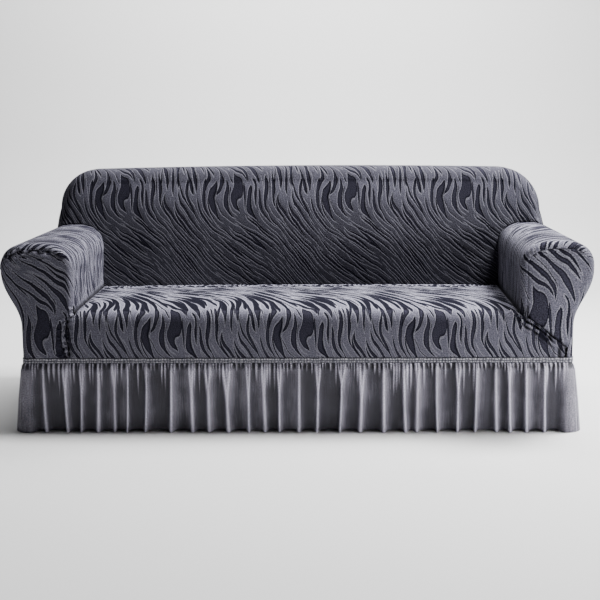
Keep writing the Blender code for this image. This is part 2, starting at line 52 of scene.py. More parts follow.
# ---- seat and apron ----
# One cut of stretch jacquard, knitted in two greys: dark sunk stripes in a mottled ground, their sunk edges
# painted with a dark shadow line and a pale highlight. It runs from the crease under the back over the seat
# and its rounded front edge down to the band.
# It is sewn to the arms along both sides, and on the right its lower seam slants out to the corner.
HALF_WIDTH, FRONT, REAR = 0.992, -0.440, 0.440
CORNER = 0.024  # radius of every upright outer corner
BODY_FOOT = 0.2690  # lower edge of the jacquard
CLOTH = 0.0022
ARM_INNER, ARM_TOE = 0.818, 0.020  # the arms' inner wall at the back, and how much nearer the middle in front
APRON_SEAM = ARM_INNER - ARM_TOE + CORNER
SEAT_Z, SEAT_CROWN, CROWN_FROM, CROWN_TO = 0.436, 0.010, 0.15, 0.75
SEAT_EDGE, SEAT_BULGE, BULGE_FADE = 0.050, 0.012, 0.10
SEAT_DEPTH = 0.605
SLANT_TOP, SLANT_FOOT = 0.418, 0.304
BACK_TUCK, BACK_FOOT_Y, BACK_TOP_Y = 0.412, 0.215, 0.292
BACK_TOP_Z, BACK_SOFT, BACK_BULGE, BULGE_SPAN = 0.922, 0.060, 0.014, 0.98


def added(name, data):
    """A new object of the scene."""
    thing = bpy.data.objects.new(name, data)
    bpy.context.scene.collection.objects.link(thing)
    return thing


class Value:
    """A number or colour that changes over a surface: a shader socket, with Python's arithmetic."""

    def __init__(self, socket):
        self.socket = socket

    def math(self, operation, *others, swapped=False):
        tree = self.socket.id_data
        node = tree.nodes.new("ShaderNodeMath")
        node.operation = operation
        terms = (*others, self) if swapped else (self, *others)
        for socket, term in zip(node.inputs, terms):
            if isinstance(term, Value):
                tree.links.new(term.socket, socket)
            else:
                socket.default_value = term
        return Value(node.outputs[0])

    __add__ = partialmethod(math, "ADD")
    __sub__ = partialmethod(math, "SUBTRACT")
    __rsub__ = partialmethod(math, "SUBTRACT", swapped=True)
    __mul__ = partialmethod(math, "MULTIPLY")
    __truediv__ = partialmethod(math, "DIVIDE")
    __pow__ = partialmethod(math, "POWER")
    __abs__ = partialmethod(math, "ABSOLUTE")


def fill(node, values):
    """Gives sockets of a node their values or links."""
    for name, value in values.items():
        socket = next(s for s in node.inputs if s.name == name and s.enabled)
        if isinstance(value, Value):
            node.id_data.links.new(value.socket, socket)
        else:
            socket.default_value = value


class Finish:
    """A material being made. node() adds a node: its settings first, then its sockets' values or links."""

    def __init__(self, name, roughness, sheen, gloss):
        self.material = bpy.data.materials.new(name)
        self.material.use_nodes = True
        self.tree = self.material.node_tree
        self.shader = self.tree.nodes["Principled BSDF"]
        fill(self.shader, {"Roughness": roughness, "Specular IOR Level": gloss})
        fill(self.shader, {"Sheen Weight": sheen, "Sheen Roughness": 0.4})

    def node(self, kind, settings, values, output=0):
        node = self.tree.nodes.new("ShaderNode" + kind)
        for name, value in settings.items():
            if name == "stops":
                elements = node.color_ramp.elements
                for end in (0, -1):
                    elements[end].position, elements[end].color = value[end][0], (*value[end][1], 1)
                for position, colour in value[1:-1]:
                    elements.new(position).color = (*colour, 1)
            else:
                setattr(node, name, value)
        fill(node, values)
        if output == "all":
            return [Value(s) for s in node.outputs]
        return Value(node.outputs[output])

    def place(self):
        """The place on the cloth in metres: across and up."""
        spot = self.node("UVMap", {"uv_map": "cloth"}, {})
        return self.node("SeparateXYZ", {}, {"Vector": spot}, "all")[:2]

    # the attribute of painted light and shade on the cloth
    def fold(self):
        return self.node("Attribute", {"attribute_name": "fold"}, {}, 2)

    def spot(self, x, y, z=0.0):
        return self.node("CombineXYZ", {}, {"X": x, "Y": y, "Z": z})

    def noise(self, place, scale, detail=1.0):
        """Soft noise about 0, over a place of two or three values."""
        values = {"Vector": self.spot(*place), "Scale": scale, "Detail": detail}
        return self.node("TexNoise", {"noise_dimensions": f"{len(place)}D"}, values) - 0.5

    def tinted(self, colour, gain):
        """The colour, made lighter or darker by a number."""
        values = {"A": colour, "B": self.spot(gain, gain, gain), "Factor": 1.0}
        return self.node("Mix", {"data_type": "RGBA", "blend_type": "MULTIPLY"}, values, 2)

    def finish(self, colour, height, distance, strength):
        """Links the colour and the relief, and gives the material."""
        bump = self.node("Bump", {}, {"Height": height, "Distance": distance, "Strength": strength})
        fill(self.shader, {"Base Color": colour, "Normal": bump})
        return self.material


REPEAT, RISE = 0.473, 0.58  # the stripes repeat across and up the cloth after these
LANES = 13  # stripes side by side in one repeat
SLOPE = (0.76, -0.54, -0.28)  # how far a stripe drifts aside per metre down: on average, and in two waves
PINCH, PINCH_FADE = 0.50, 2.2  # the stripes crowd together in one place of each repeat, and spread beside it
PINCH_SINES, PINCH_COSINE = (0.60, 0.40), 0.35
WOBBLE = 0.065  # how unevenly the stripes run
ROW_FADE = 1.3  # how fast the strokes thin out above and below a row of wide ones
ROW_SWING = 0.020  # half of what a row hangs down between the crowded places
BLOB, BLOB_FADE = 0.36, 3.5  # what the widest stroke of a row gains, and how fast the others gain less
BLOB_TURN = 1.93  # how far it stands from the crowded place: an angle, with a full turn to a repeat
THINNED = 0.52  # what the strokes lose between the rows
SPARSE_BOLD, SPARSE_FINE = 0.35, 0.32  # and where the stripes are spread apart
# the two sets of strokes: length in metres, seed, and in lanes the widest, the narrowest and the lean
BOLD_STROKES = (0.19, 14.0, 0.34, 0.18, 0.50)
FINE_STROKES = (0.14, 17.0, 0.19, -0.05, 0.9)
LIT_SPREAD = 0.10  # how much wider the strokes are painted where the painted light falls


def stripe_lanes(finish, lane, up, length, seed, wide, narrow, lean, gain=1.0):
    """Tapered strokes, end to end in lanes one unit wide: below 0 inside a stroke."""
    column = lane.math("FLOOR")
    across = lane - column
    column = column.math("FLOORED_MODULO", LANES)
    flat = {"noise_dimensions": "2D"}
    start = finish.node("TexWhiteNoise", flat, {"Vector": finish.spot(column + 0.5, seed)})
    along = up / length + start * 7.3
    row = along.math("FLOOR")
    cell = finish.spot(column + 0.37, row + seed)
    chance = finish.node("TexWhiteNoise", flat, {"Vector": cell}, 1)
    width, shift, tilt = finish.node("SeparateColor", {}, {"Color": chance}, "all")
    reach = (along - row) * 2 - 1
    middle = (shift - 0.5) * 0.24 + reach * ((tilt - 0.5) * lean) + 0.5
    half = (width * (wide - narrow) + narrow) * (1 - abs(reach) ** 1.4) * gain
    return abs(across - middle) - half + abs(reach) ** 10 * 0.16


def jacquard():
    finish = Finish("striped jacquard", 0.95, 0.0, 0.04)
    across, up = finish.place()
    radius, rise = REPEAT / math.tau, RISE / math.tau
    turn = across / radius
    sine, cosine = turn.math("SINE"), turn.math("COSINE")
    up = up + (1 - cosine) * ROW_SWING
    phase = up / rise
    around = cosine * (radius * 12), sine * (radius * 12), up * 6
    row = ((phase.math("COSINE") - 1) * ROW_FADE).math("EXPONENT")
    wobble = finish.noise(around, 1.0, 1.5) * (row * 0.5 + 0.5) * WOBBLE
    crowd = ((phase.math("COSINE") - 1) * PINCH_FADE).math("EXPONENT") * PINCH
    double, twice = (turn * 2).math("SINE"), (phase * 2).math("SINE")
    gather = sine * PINCH_SINES[0] + double * (PINCH_SINES[1] / 2) - cosine * PINCH_COSINE
    flow = across + up * SLOPE[0] + phase.math("SINE") * (SLOPE[1] * rise) + twice * (SLOPE[2] * rise / 2)
    flow = flow + gather * crowd * radius + wobble
    lane = flow * (LANES / REPEAT)
    slope = phase.math("COSINE") * SLOPE[1] + (phase * 2).math("COSINE") * SLOPE[2] + SLOPE[0]
    squeeze = cosine * PINCH_SINES[0] + (turn * 2).math("COSINE") * PINCH_SINES[1] + sine * PINCH_COSINE
    density = squeeze * crowd + 1
    sparse = (1 - density).math("MAXIMUM", 0.0)
    fold = finish.fold()
    # lit and glow carry the painted light: where it falls the strokes are painted wider and darker, and the
    # wide blobs and the thinning between rows are left out
    lit = fold.math("MAXIMUM", 0.0).math("MINIMUM", 1.0)
    glow = (lit * 2).math("MINIMUM", 1.0)
    blob = (((turn + BLOB_TURN).math("COSINE") - 1) * BLOB_FADE).math("EXPONENT") * row ** 3 * (1 - glow)
    gain = blob * BLOB - sparse * SPARSE_BOLD - (1 - row) * (1 - glow) * THINNED + 1
    bold = stripe_lanes(finish, lane, up, *BOLD_STROKES, gain)
    fine = stripe_lanes(finish, lane + 0.5, up + 0.08, *FINE_STROKES) + (density - 1) * 0.20
    fine = fine + sparse * (1 - row) * SPARSE_FINE
    depth = bold.math("SMOOTH_MIN", fine, 0.04)
    away = depth * (REPEAT / LANES) / (density * density + slope * slope).math("SQRT")
    knit = finish.noise((across, up), 330.0)
    # the stripe colours: the stroke fill, a near-black painted shadow along the sunk edge, a pale painted
    # highlight on the ground's rim, then the ground
    stops = (
        (0.00, (0.023, 0.022, 0.0325)),
        (0.34, (0.020, 0.019, 0.0290)),
        (0.40, (0.009, 0.0085, 0.014)),
        (0.44, (0.004, 0.004, 0.008)),
        (0.48, (0.008, 0.0075, 0.0125)),
        (0.545, (0.152, 0.149, 0.178)),
        (0.60, (0.118, 0.115, 0.142)),
        (0.66, (0.074, 0.072, 0.094)),
        (1.00, (0.085, 0.0825, 0.106)),
    )
    inside = away * 40 + 0.5 + knit * 0.05 - glow * LIT_SPREAD
    inside = inside.math("MAXIMUM", (lit * 0.6).math("MINIMUM", 0.44))
    colour = finish.node("ValToRGB", {"stops": stops}, {"Fac": inside})
    raised = (away * 160 + 0.4).math("MINIMUM", 1.0).math("MAXIMUM", 0.0)
    # the knit's own mottle, times the painted light and shade, which falls mostly on the raised ground
    colour = finish.tinted(colour, (knit * 2.4 + 1) * (fold * (raised * 0.7 + 0.15) + 1))
    return finish.finish(colour, raised + knit * 0.5, 0.0018, 0.8)


def ramp(t):
    """0 below 0, 1 above 1, smooth between."""
    t = np.clip(t, 0, 1)
    return t * t * (3 - 2 * t)


def mixed(a, b, t):
    return a + (b - a) * t


def bell(away, width):
    """1 at 0, and fading to both sides."""
    return np.exp(-(away / width) ** 2)


def lengths(line):
    """How far along an open line each of its points lies."""
    return np.concatenate([[0], np.cumsum(np.linalg.norm(np.diff(line, axis=0), axis=1))])


def ruffle(along, pitch, seed):
    """Uneven small folds along a seam, from about -1 to 1."""
    chance = random.Random(seed)
    total = 0
    for share, size in ((0.50, 1.0), (0.32, 1.63), (0.30, 0.57), (0.25, 2.9)):
        total = total + share * np.sin(math.tau * (along / (pitch * size) + chance.random()))
    return total


def crumple(u, v, pitch, seed):
    """Uneven small wrinkles that run in every direction, from about -1 to 1."""
    chance = random.Random(seed)
    total = 0
    for _ in range(7):
        turn, size = chance.uniform(0, math.pi), pitch * chance.uniform(0.7, 2.0)
        wave = (u * math.cos(turn) + v * math.sin(turn)) * (math.tau / size)
        total = total + 0.38 * np.sin(wave + chance.uniform(0, math.tau))
    return total


def seam(away, along, seed, depth=0.003, width=0.005, pucker=0.0015, reach=0.016, pitch=0.017):
    """Relief beside a seam: the cloth dips into it, and puckers fade away from it."""
    return pucker * np.exp(-away / reach) * ruffle(along, pitch, seed) - depth * bell(away, width)


def no_relief(s, t, edge, points):
    return 0 * s


def lines(*stops):
    """A grid's lines: places, with the number of steps from each to the next between them."""
    spans = zip(stops[::2], stops[1::2], stops[2::2])
    return np.concatenate([*(np.linspace(a, b, count + 1)[:-1] for a, count, b in spans), stops[-1:]])


DEEP_FOLD = 0.006  # relief this high gets the whole painted light, and relief this deep the whole painted shade


def cloth(name, across, down, shape, relief, outward, thickness=CLOTH):
    """A sheet: a grid whose points shape() places, and relief() then lifts along the normals.

    across and down are the grid's lines, from 0 to 1. outward is 1, or -1 to turn the sheet over.
    shape() also gives each point's place on the cloth, and may add painted light and shade to the attribute
    fold; the relief adds painted light where the cloth is raised and painted shade where it is sunk.
    """
    bm = bmesh.new()
    bmesh.ops.create_grid(bm, x_segments=len(across) - 1, y_segments=len(down) - 1, size=0.5)
    mesh = bpy.data.meshes.new(name)
    if outward < 0:
        bmesh.ops.reverse_faces(bm, faces=bm.faces)
    bm.to_mesh(mesh)
    bm.free()
    s, t = np.meshgrid(across, down)
    points, pattern = (np.stack(part, -1) for part in shape(s, t))
    step_s, step_t = np.gradient(points, axis=1), np.gradient(points, axis=0)
    normal = np.cross(step_s, step_t) * outward
    normal /= np.maximum(np.linalg.norm(normal, axis=-1, keepdims=True), 1e-12)
    run = np.cumsum(np.linalg.norm(np.diff(points, axis=1, prepend=points[:, :1]), axis=-1), axis=1)
    drop = np.cumsum(np.linalg.norm(np.diff(points, axis=0, prepend=points[:1]), axis=-1), axis=0)
    edge = SimpleNamespace(left=run, right=run[:, -1:] - run, start=drop, end=drop[-1:] - drop)
    swell = relief(s, t, edge, points)
    points = points + normal * swell[..., None]
    # painted light where the relief is raised and painted shade where it is sunk, plus what shape() paints
    fold = np.clip(swell / DEEP_FOLD, -1, 1) + (pattern[..., 2] if pattern.shape[-1] > 2 else 0)
    flat = np.empty(len(mesh.vertices) * 3)
    mesh.vertices.foreach_get("co", flat)
    i = np.rint((flat[0::3] + 0.5) * (len(across) - 1)).astype(int)
    j = np.rint((flat[1::3] + 0.5) * (len(down) - 1)).astype(int)
    mesh.vertices.foreach_set("co", points[j, i].ravel())
    corner = np.empty(len(mesh.loops), int)
    mesh.loops.foreach_get("vertex_index", corner)
    layer = mesh.uv_layers.new(name="cloth")
    layer.data.foreach_set("uv", pattern[j, i, :2][corner].ravel())
    mesh.attributes.new("fold", "FLOAT", "POINT").data.foreach_set("value", fold[j, i])
    mesh.shade_smooth()
    piece = added(name, mesh)
    thick = piece.modifiers.new("thickness", "SOLIDIFY")
    thick.thickness = thickness
    thick.offset = -1
    return piece


def dressed(piece, material, node):
    """Gives a sheet its material, hangs it from the root, and hides the solid that it replaces."""
    piece.data.materials.append(material)
    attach(piece, "root")
    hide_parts(node)


def back_face(x, z):
    rise = (z - BACK_TUCK) / (BACK_TOP_Z - BACK_SOFT - BACK_TUCK)
    swell = np.clip(1 - (x / BULGE_SPAN) ** 4, 0, None) * np.sin(math.pi * np.clip(rise, 0, 1))
    return mixed(BACK_FOOT_Y, BACK_TOP_Y, rise) - BACK_BULGE * swell


def inner_wall(y):
    return ARM_INNER - ARM_TOE * np.clip((BACK_FOOT_Y - y) / (BACK_FOOT_Y - FRONT), 0, 1)


def apron_bulge(z):
    """How far the apron stands before the arm fronts."""
    fall = np.clip(SEAT_Z - z, 0, SEAT_EDGE)
    rounded = SEAT_BULGE - SEAT_EDGE + np.sqrt(SEAT_EDGE ** 2 - (SEAT_EDGE - fall) ** 2)
    below = SEAT_BULGE * ramp((z - BODY_FOOT) / BULGE_FADE)
    return np.where(SEAT_Z - z < SEAT_EDGE, np.clip(rounded, 0, None), below)


def seat_half_width(y):
    """The seat's side follows the rounded front edge of the arm, and passes before it."""
    turned = np.clip(FRONT + CORNER - y, 0, None)
    clear = CORNER + CLOTH * np.clip(turned / CORNER, 0, 1)
    side = inner_wall(y) + CORNER - np.sqrt(np.clip(clear ** 2 - turned ** 2, 0, None))
    return np.where(turned >= clear, APRON_SEAM, np.minimum(APRON_SEAM, side))


def slant(z):
    return mixed(APRON_SEAM, HALF_WIDTH - CORNER, np.clip((SLANT_TOP - z) / (SLANT_TOP - SLANT_FOOT), 0, 1))


SEAT_ROUND = SEAT_EDGE * QUARTER
SEAT_CLOTH = SEAT_DEPTH + SEAT_ROUND + (SEAT_Z - SEAT_EDGE - BODY_FOOT)
SEAT_REPEAT_X, APRON_REPEAT_Z = -0.753, 0.406  # where the stripes crowd on the apron
SEAT_PAINTED_LIGHT = 0.8  # painted light on the seat's top, fading over its rounded front edge
REAR_PAINTED_LIGHT = (0.65, 0.0)  # how much more painted light falls towards the rear, at the left and at the right
CREASE = 0.013  # how far the painted shade of the creases beside the seat and the arms reaches
SEAT_STRETCH = 0.35  # the cloth is pulled out over the seat's front part, so the stripes are long there


def seat_shape(s, t):
    """s runs from the left seam to the right one, t from the crease at the back down to the band."""
    down = t * SEAT_CLOTH
    back = np.clip(down / SEAT_DEPTH, 0, 1)
    turn = np.clip((down - SEAT_DEPTH) / SEAT_EDGE, 0, QUARTER)
    fall = np.clip(down - SEAT_DEPTH - SEAT_ROUND, 0, None)
    crown = SEAT_CROWN * (1 - np.abs(2 * s - 1) ** 3) * np.sin(math.pi * mixed(CROWN_FROM, CROWN_TO, back))
    z = SEAT_Z + crown * np.cos(turn) - SEAT_EDGE * (1 - np.cos(turn)) - fall
    edge_y = FRONT - SEAT_BULGE + SEAT_EDGE
    y = mixed(back_face((2 * s - 1) * ARM_INNER, SEAT_Z), edge_y, back) - SEAT_EDGE * np.sin(turn)
    y = np.where(fall > 0, FRONT - apron_bulge(z), y)
    left = np.where(fall > 0, APRON_SEAM, seat_half_width(y))
    right = np.where((turn > 0) & (z < SLANT_TOP), slant(z), left)
    x = mixed(-left, right, s)
    inward = np.clip(SEAT_DEPTH - down, 0, None)
    drawn = inward * (SEAT_STRETCH + (1 - SEAT_STRETCH) * (inward / SEAT_DEPTH) ** 2)
    up = drawn + SEAT_ROUND + (SEAT_Z - SEAT_EDGE - APRON_REPEAT_Z) - np.clip(down - SEAT_DEPTH, 0, None)
    # painted light on the top, more towards the rear, and a painted shade line along the creases at both
    # sides
    beside = bell(np.minimum(x + left, right - x), CREASE)
    painted_light_shade = SEAT_PAINTED_LIGHT * ramp(1 - turn / 1.3) * (1 + mixed(*REAR_PAINTED_LIGHT, s) * inward / SEAT_DEPTH)
    return (x, y, z), (x - SEAT_REPEAT_X, up, painted_light_shade * (1 - beside) - beside)


SLANT_BARS = (0.817, 0.852, 0.904, 0.939, 0.966)  # small sunk folds across the slanting seam, dark from their relief and from painted shade


def seat_relief(s, t, edge, points):
    x, z = points[..., 0], points[..., 2]
    relief = seam(edge.left, edge.start, "seat left", pucker=0.0012)
    relief += seam(edge.start, edge.left, "crease", depth=0.008, width=0.010, pucker=0.001)
    wave = math.tau * edge.right / 0.027 + 1.1 * np.sin(math.tau * x / 0.12)
    ridges = np.clip(2.2 * np.sin(wave), -1, 1)
    ridges *= ramp((x - 0.77) / 0.03) * ramp((0.935 - x) / 0.04) * np.exp(-(edge.right / 0.058) ** 4)
    bars = sum(bell(x - at, 0.0055) for at in SLANT_BARS) * bell(edge.right, 0.065)
    relief += ramp((SLANT_TOP + 0.02 - z) / 0.03) * (0.007 * ridges - 0.008 * bars)
    relief += 0.004 * (z < SEAT_Z - 0.01) * np.exp(-edge.left / 0.02) * ruffle(edge.start, 0.02, "apron")
    relief -= 0.005 * bell(edge.right, 0.006) * ramp((z - SLANT_FOOT) / 0.02)
    return relief


jacquard_cloth = jacquard()
seat = cloth("seat_cover", lines(0, 15, 0.03, 200, 0.86, 70, 1), lines(0, 6, 0.04, 58, 0.79, 41, 1),
             seat_shape, seat_relief, -1)
dressed(seat, jacquard_cloth, "seat_panel")


# ---- arm covers ----
# One cut for each arm, of the same jacquard: from the tuck beside the seat up the inner face, over the roll,
# under it and down the outside to the band. Its front edge is gathered a little into the arm front's seam.
ARM_TUCK = 0.412
WALL_MIDDLE = 0.48
# the roll: its middle, half width, half height, fullness, rise to the rear and number of stations
ROLL_X, ROLL_Z, ROLL_A, ROLL_B, ROLL_FULL, ROLL_RISE, ROLL_STEPS = 0.938, 0.584, 0.121, 0.100, 2.6, 0.05, 10
HOOK_START, HOOK_END, HOOK_FOOT, HOOK_STEPS = 0.50, (0.995, 0.46), 0.385, 4
LEFT, RIGHT = -1, 1
FINE = 8  # points of the outline for each of its stations
ARM_SCALES = {LEFT: 1.1, RIGHT: 0.7}  # below 1 the cloth is stretched, and its stripes are larger


def arm_outline():
    """Points (x, z) of the right arm, from the tuck over the roll to the foot outside, FINE to a station."""
    def upright(x, start, end):
        return [(x, mixed(start, end, k / FINE)) for k in range(FINE)]

    points = upright(ARM_INNER, ARM_TUCK, WALL_MIDDLE) + upright(ARM_INNER, WALL_MIDDLE, ROLL_Z)
    for k in range(ROLL_STEPS * FINE):
        turn = math.pi * (1 - k / ROLL_STEPS / FINE)
        wide = math.copysign(abs(math.cos(turn)) ** (2 / ROLL_FULL), math.cos(turn))
        points.append((ROLL_X + ROLL_A * wide, ROLL_Z + ROLL_B * math.sin(turn) ** (2 / ROLL_FULL)))
    outer = ROLL_X + ROLL_A
    hook = ((outer, ROLL_Z), (outer, HOOK_START), HOOK_END, (HALF_WIDTH, HOOK_FOOT))
    for k in range(HOOK_STEPS * FINE):
        t = k / HOOK_STEPS / FINE
        weights = ((1 - t) ** 3, 3 * t * (1 - t) ** 2, 3 * t * t * (1 - t), t ** 3)
        points.append(tuple(sum(w * p[axis] for w, p in zip(weights, hook)) for axis in (0, 1)))
    points += upright(HALF_WIDTH, HOOK_FOOT, SLANT_FOOT) + upright(HALF_WIDTH, SLANT_FOOT, BODY_FOOT)
    return np.array(points + [(HALF_WIDTH, BODY_FOOT)])


outline = arm_outline()
outline_run = lengths(outline)
station_run = outline_run[::FINE]
tangent = np.gradient(outline, axis=0)
outline_out = np.stack([-tangent[:, 1], tangent[:, 0]], 1) / np.linalg.norm(tangent, axis=1)[:, None]
LAST = len(station_run) - 1
ROLL_START, ROLL_END = 2, 2 + ROLL_STEPS
SHOULDER_STATION = 8  # up to here the arm ends at the inside back


def arm_section(run, y):
    """The outline's point this far along it, at a depth, and its outward direction: x, z, out x, out z."""
    x, z, out_x, out_z = (np.interp(run, outline_run, row) for row in (*outline.T, *outline_out.T))
    forward = np.clip((BACK_FOOT_Y - y) / (BACK_FOOT_Y - FRONT), 0, 1)
    inner = np.clip((ROLL_X - x) / (ROLL_X - ARM_INNER), 0, None)
    above = np.clip(z - ROLL_Z, 0, None)
    return x - ARM_TOE * forward * inner, z + above * ROLL_RISE * (y - FRONT) / (REAR - FRONT), out_x, out_z


def arm_share(side, run):
    """How much of the rounded front edge is the arm cover's; the rest is the arm front's."""
    shares = [1.0] * (ROLL_END - 1) + [0.6, 0.25] + [0.0] * (LAST - ROLL_END)
    if side == RIGHT:
        shares[-2:] = [1.0, 1.0]
    else:
        shares[:ROLL_START + 2] = [0.0, 0.0, 0.0, 0.5]
    return np.interp(run, station_run, shares)


def rounded_edge(run, turn):
    """A point of the rounded front edge: turn 0 lies in the front plane, a right angle on the arm's wall."""
    y = FRONT + CORNER * (1 - np.cos(turn))
    x, z, out_x, out_z = arm_section(run, y)
    inset = CORNER * (1 - np.sin(turn))
    return x - out_x * inset, y, z - out_z * inset


ARM_LIT = {LEFT: (0, ROLL_START + 7), RIGHT: (ROLL_START + 2, ROLL_START + 8)}  # between these stations
ARM_PAINTED_LIGHT = 0.5  # painted light on the arm cover's ground, between the ARM_LIT stations
ARM_CROWD = 0.2  # the stripes are closer together towards the rear


def arm_shape(side, offset):
    scale = ARM_SCALES[side]

    def shape(s, t):
        """s runs along the outline, t from the front edge to the back."""
        run = s * outline_run[-1]
        start = QUARTER * (1 - arm_share(side, run))
        arc = CORNER * (QUARTER - start)
        x, z, _, _ = arm_section(run, BACK_FOOT_Y)
        under = back_face(x, z) + mixed(0.004, 0.050, ramp(s * LAST - 2))
        outer = ramp((run - station_run[SHOULDER_STATION]) / 0.03)
        end = mixed(under, REAR - CLOTH - CORNER, outer)
        far = t * (arc + end - FRONT - CORNER + outer * CORNER * QUARTER)
        turn = np.clip(start + far / CORNER, 0, QUARTER)
        edge_x, edge_y, edge_z = rounded_edge(run, turn)
        deep = np.clip(far - arc, 0, None)
        y = np.minimum(FRONT + CORNER + deep, end)
        rear_turn = np.clip(far - arc - (end - FRONT - CORNER), 0, None) / CORNER
        x, z, out_x, out_z = arm_section(run, y)
        inset = CORNER * (1 - np.cos(rear_turn))
        ahead = far < arc
        point = (
            side * np.where(ahead, edge_x, x - out_x * inset),
            np.where(ahead, edge_y, y + CORNER * np.sin(rear_turn)),
            np.where(ahead, edge_z, z - out_z * inset),
        )
        # painted light between the ARM_LIT stations, and a painted shade line where the inner face meets the
        # seat
        first, last = (station_run[k] for k in ARM_LIT[side])
        lit = ramp((run - first) / 0.05) * ramp((last - run) / 0.05)
        drawn = (arc - far) * scale - ARM_CROWD * deep * deep / (deep + 0.15)
        beside = bell(point[2] - SEAT_Z, CREASE) * (run < station_run[ROLL_START])
        painted_light_shade = ARM_PAINTED_LIGHT * lit * (1 - beside) - beside
        return point, (side * drawn + offset[0], run * scale + offset[1], painted_light_shade)
    return shape


def ruching(side, points):
    """Uneven ridges of the cloth that is gathered into the seams of an arm front, from -0.6."""
    return 1.6 * np.abs(crumple(0.4 * points[..., 0], points[..., 2], 0.024, side + 9)) - 0.6


# the seam over the roll: its depth and width, and its puckers' height and reach
ARM_SEAMS = {LEFT: (0.006, 0.005, 0.0030, 0.020), RIGHT: (0.001, 0.004, 0.0010, 0.020)}


def arm_relief(side):
    top = station_run[ROLL_START + 1], station_run[ROLL_END]

    def relief(s, t, edge, points):
        run = s * outline_run[-1]
        sewn = ramp((run - top[0]) / 0.03) * ramp((top[1] + 0.02 - run) / 0.03)
        total = seam(edge.start, edge.left, f"arm {side}", *ARM_SEAMS[side]) * sewn
        height = 0.004 if side == LEFT else 0.001
        total += height * sewn * bell(edge.start, 0.012) * ruching(side, points)
        total += seam(edge.left, edge.start, f"tuck {side}", depth=0.004, pucker=0.001)
        return total
    return relief


for side, word, offset in ((RIGHT, "right", (-0.207, -0.034)), (LEFT, "left", (0.05, -0.20))):
    arm = cloth(f"arm_cover_{word}", lines(0, 280, 1), lines(0, 30, 0.10, 65, 1), arm_shape(side, offset),
                arm_relief(side), side)
    dressed(arm, jacquard_cloth, f"arm_{word}")


# ---- arm fronts ----
# The shaped ends of the arms, of the same jacquard. Each is eased into the seam along the roll, so that the
# cloth is ruched there, and wraps round the outer corner; the left one wraps round the inner corner too.
FRONT_DOME, DOME_POWER = 0.010, 0.6
WRAP = 0.10  # of the columns: the part that goes round a corner
INNER_STATION, OUTER_STATION = ROLL_START + 2, ROLL_START + 8  # the two ends of the seam over the roll
FRONT_REPEATS = {LEFT: (-0.73, 0.41), RIGHT: (1.08, 0.46)}  # where the stripes crowd: x and z
FRONT_SCALES = {LEFT: 0.85, RIGHT: ARM_SCALES[RIGHT]}  # as ARM_SCALES


def front_shape(side):
    lowest = station_run[1 if side == RIGHT else 0]
    foot = station_run[LAST - 1 if side == RIGHT else LAST]
    stop_z = SLANT_TOP if side == RIGHT else BODY_FOOT
    inner_top, outer_top = station_run[INNER_STATION], station_run[OUTER_STATION]
    wall_z = float(np.interp(lowest, outline_run, outline[:, 1]))
    wall_share = (inner_top - lowest) / (inner_top - lowest + wall_z - stop_z)

    def rim(run):
        x, z, out_x, out_z = arm_section(run, FRONT)
        return np.stack([x - out_x * CORNER, z - out_z * CORNER], -1)

    def inner_run(v):
        return mixed(lowest, inner_top, np.clip((v - 1 + wall_share) / wall_share, 0, 1))

    def inner_rim(v):
        """From the foot up: the seam with the apron, then the rim beside the roll."""
        straight = mixed(stop_z, wall_z, np.clip(v / (1 - wall_share), 0, 1))
        seam_line = np.stack([np.full_like(v, APRON_SEAM), straight], -1)
        return np.where((v < 1 - wall_share)[..., None], seam_line, rim(inner_run(v)))

    def shape(s, t):
        """s runs from the outer edge to the inner one, t from the foot up to the seam over the roll."""
        u = np.clip((s - WRAP) / (1 - WRAP - (WRAP if side == LEFT else 0)), 0, 1)
        outer_run = mixed(foot, outer_top, t)
        outer, inner = rim(outer_run), inner_rim(t)
        top = rim(mixed(outer_top, inner_top, u))
        low, low_end = rim(np.full_like(u, foot)), inner_rim(np.zeros_like(u))
        bottom = low + (low_end - low) * u[..., None]
        high, high_end = rim(np.full_like(u, outer_top)), rim(np.full_like(u, inner_top))
        lowly = bottom + (top - bottom) * t[..., None]
        sides = outer + (inner - outer) * u[..., None]
        chord = high + (high_end - high) * u[..., None]
        flat = sides + lowly - (bottom + (chord - bottom) * t[..., None])
        x, z = flat[..., 0], flat[..., 1]
        hump = ramp(2 * np.minimum(u, 1 - u)) if side == LEFT else np.where(
            u < 0.5, ramp(2 * u), (4 * u * (1 - u)) ** DOME_POWER)
        y = FRONT - FRONT_DOME * hump * (4 * t * (1 - t)) ** DOME_POWER
        near_apron = ramp((u - 0.5) * 2) if side == LEFT else np.maximum(ramp((u - 0.5) * 2), 1 - ramp(t * 6))
        y = y - apron_bulge(z) * near_apron * (z < SEAT_Z)
        wraps = [(s < WRAP, outer_run, WRAP - s, 1)]
        if side == LEFT:
            on_roll = (s > 1 - WRAP) & (t > 1 - wall_share)
            wraps.append((on_roll, inner_run(t), s - (1 - WRAP), -1))
        spread = np.zeros_like(x)
        for here, run, past, outward in wraps:
            turn = QUARTER * (1 - arm_share(side, run)) * np.clip(past / WRAP, 0, 1)
            x, y, z = (np.where(here, *both) for both in zip(rounded_edge(run, turn), (x, y, z)))
            spread = np.where(here, outward * CORNER * turn, spread)
        repeat_x, repeat_z = FRONT_REPEATS[side]
        scale = FRONT_SCALES[side]
        return (side * x, y, z), ((side * (x + spread) - repeat_x) * scale, (z - repeat_z) * scale)
    return shape


# the seam over the roll: its depth, and its wrinkles' height and reach
FRONT_SEAMS = {LEFT: (0.0035, 0.0050, 0.026), RIGHT: (0.002, 0.0020, 0.020)}


